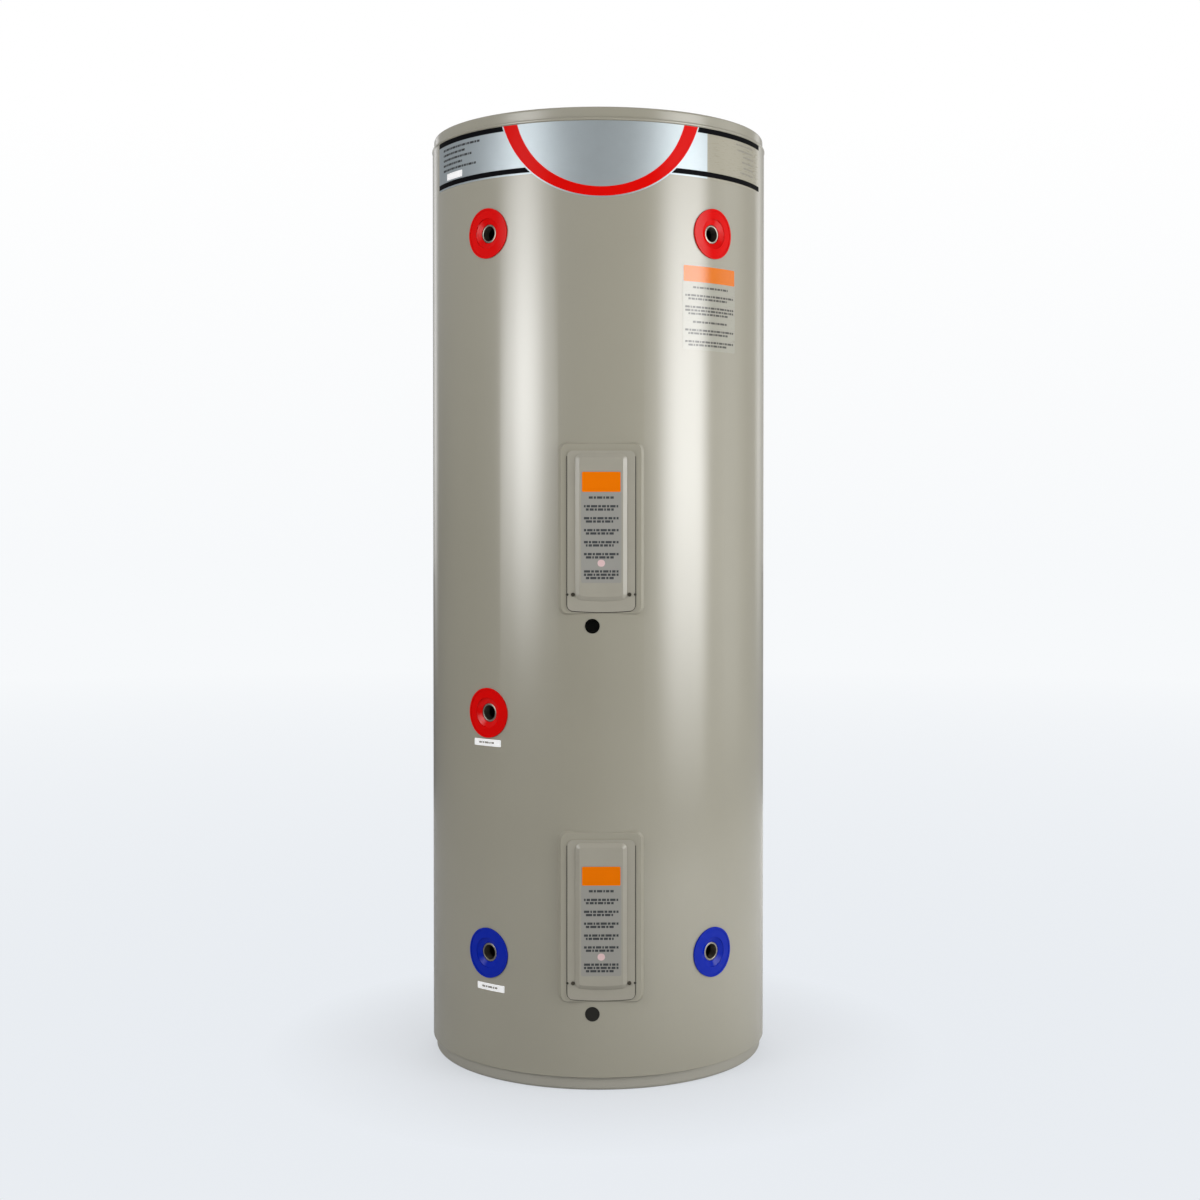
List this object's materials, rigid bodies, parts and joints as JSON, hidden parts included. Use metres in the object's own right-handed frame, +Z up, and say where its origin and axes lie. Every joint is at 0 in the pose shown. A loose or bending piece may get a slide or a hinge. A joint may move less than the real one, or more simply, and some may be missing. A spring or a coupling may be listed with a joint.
{
  "type": "tank water heater",
  "caption": "Tall round mains-pressure storage water heater: painted steel jacket, ringed pipe ports, and access covers over electric elements with thermostats.",
  "frame": {"origin": "centre of the footprint, on the floor that the base pan's ring stands on", "axes": "+Z up along the tank, -Y out of the access covers at the front, +X to the right of someone who faces the covers"},
  "size_m": [0.6419, 0.65, 1.743],
  "materials": {
    "base_pan_paint": "satin",
    "jacket_paint": "gloss",
    "lid_paint": "gloss",
    "insulating_foam": "matte",
    "tank_stainless": "satin",
    "stand_paint": "matte",
    "entry_plate_steel": "satin",
    "socket_steel": "satin",
    "hot_ring_plastic": "gloss",
    "cold_ring_plastic": "gloss",
    "cover_plastic": "satin",
    "cover_screw_zinc": "satin",
    "grommet_rubber": "matte",
    "plug_plastic": "matte",
    "liner_plastic": "matte",
    "seat_steel": "satin",
    "gasket_rubber": "matte",
    "element_alloy": "satin",
    "bolt_zinc": "satin",
    "thermostat_moulding": "matte",
    "dial_moulding": "satin",
    "button_red": "gloss",
    "clip_spring_steel": "satin",
    "terminal_brass": "satin"
  },
  "bodies": {
    "heater": {"base_pan": "base_pan_paint", "jacket": "jacket_paint", "lid": "lid_paint", "foam_insulation": "insulating_foam", "tank_barrel": "tank_stainless", "tank_top_head": "tank_stainless", "tank_bottom_head": "tank_stainless", "tank_stand_ring": "stand_paint", "socket_hot_upper_left": "socket_steel", "socket_hot_upper_right": "socket_steel", "socket_hot_middle": "socket_steel", "socket_cold_left": "socket_steel", "socket_cold_right": "socket_steel", "port_ring_hot_upper_left": "hot_ring_plastic", "port_ring_hot_upper_right": "hot_ring_plastic", "port_ring_hot_middle": "hot_ring_plastic", "port_ring_cold_left": "cold_ring_plastic", "port_ring_cold_right": "cold_ring_plastic", "hot_pickup_left": "tank_stainless", "hot_pickup_right": "tank_stainless", "cold_diffuser_left": "tank_stainless", "cold_diffuser_right": "tank_stainless", "conduit_grommet": "grommet_rubber", "conduit_plug": "plug_plastic", "entry_plate_upper": "entry_plate_steel", "entry_plate_lower": "entry_plate_steel", "compartment_liner_upper": "liner_plastic", "compartment_liner_lower": "liner_plastic", "element_seat_upper": "seat_steel", "element_seat_lower": "seat_steel", "element_gasket_upper": "gasket_rubber", "element_gasket_lower": "gasket_rubber", "heating_element_upper": "element_alloy", "heating_element_lower": "element_alloy", "element_bolts_upper": "bolt_zinc", "element_bolts_lower": "bolt_zinc", "thermostat_body_upper": "thermostat_moulding", "thermostat_body_lower": "thermostat_moulding", "thermostat_clip_upper": "clip_spring_steel", "thermostat_clip_lower": "clip_spring_steel", "terminal_screws_upper": "terminal_brass", "terminal_screws_lower": "terminal_brass", "link_bars_upper": "terminal_brass", "link_bars_lower": "terminal_brass", "earth_stud_upper": "terminal_brass", "earth_stud_lower": "terminal_brass"},
    "upper_cover": {"access_cover_upper": "cover_plastic", "cover_screws_upper": "cover_screw_zinc"},
    "lower_cover": {"access_cover_lower": "cover_plastic", "cover_screws_lower": "cover_screw_zinc"},
    "upper_dial": {"thermostat_dial_upper": "dial_moulding"},
    "lower_dial": {"thermostat_dial_lower": "dial_moulding"},
    "upper_button": {"reset_button_upper": "button_red"},
    "lower_button": {"reset_button_lower": "button_red"}
  },
  "joints": [
    {"name": "upper_cover_pull", "type": "slide", "parent": "heater", "child": "upper_cover", "axis": [0, -1, 0], "range_m": [0, 0.15]},
    {"name": "lower_cover_pull", "type": "slide", "parent": "heater", "child": "lower_cover", "axis": [0, -1, 0], "range_m": [0, 0.15]},
    {"name": "upper_dial_turn", "type": "hinge", "parent": "heater", "child": "upper_dial", "pos_m": [0, -0.2993, 1.008], "axis": [0, -1, 0], "range_deg": [-75, 75]},
    {"name": "lower_dial_turn", "type": "hinge", "parent": "heater", "child": "lower_dial", "pos_m": [0, -0.2993, 0.3195], "axis": [0, -1, 0], "range_deg": [-75, 75]},
    {"name": "upper_button_press", "type": "slide", "parent": "heater", "child": "upper_button", "axis": [0, 1, 0], "range_m": [0, 0.0015], "stiffness_N_per_m": 600},
    {"name": "lower_button_press", "type": "slide", "parent": "heater", "child": "lower_button", "axis": [0, 1, 0], "range_m": [0, 0.0015], "stiffness_N_per_m": 600}
  ]
}
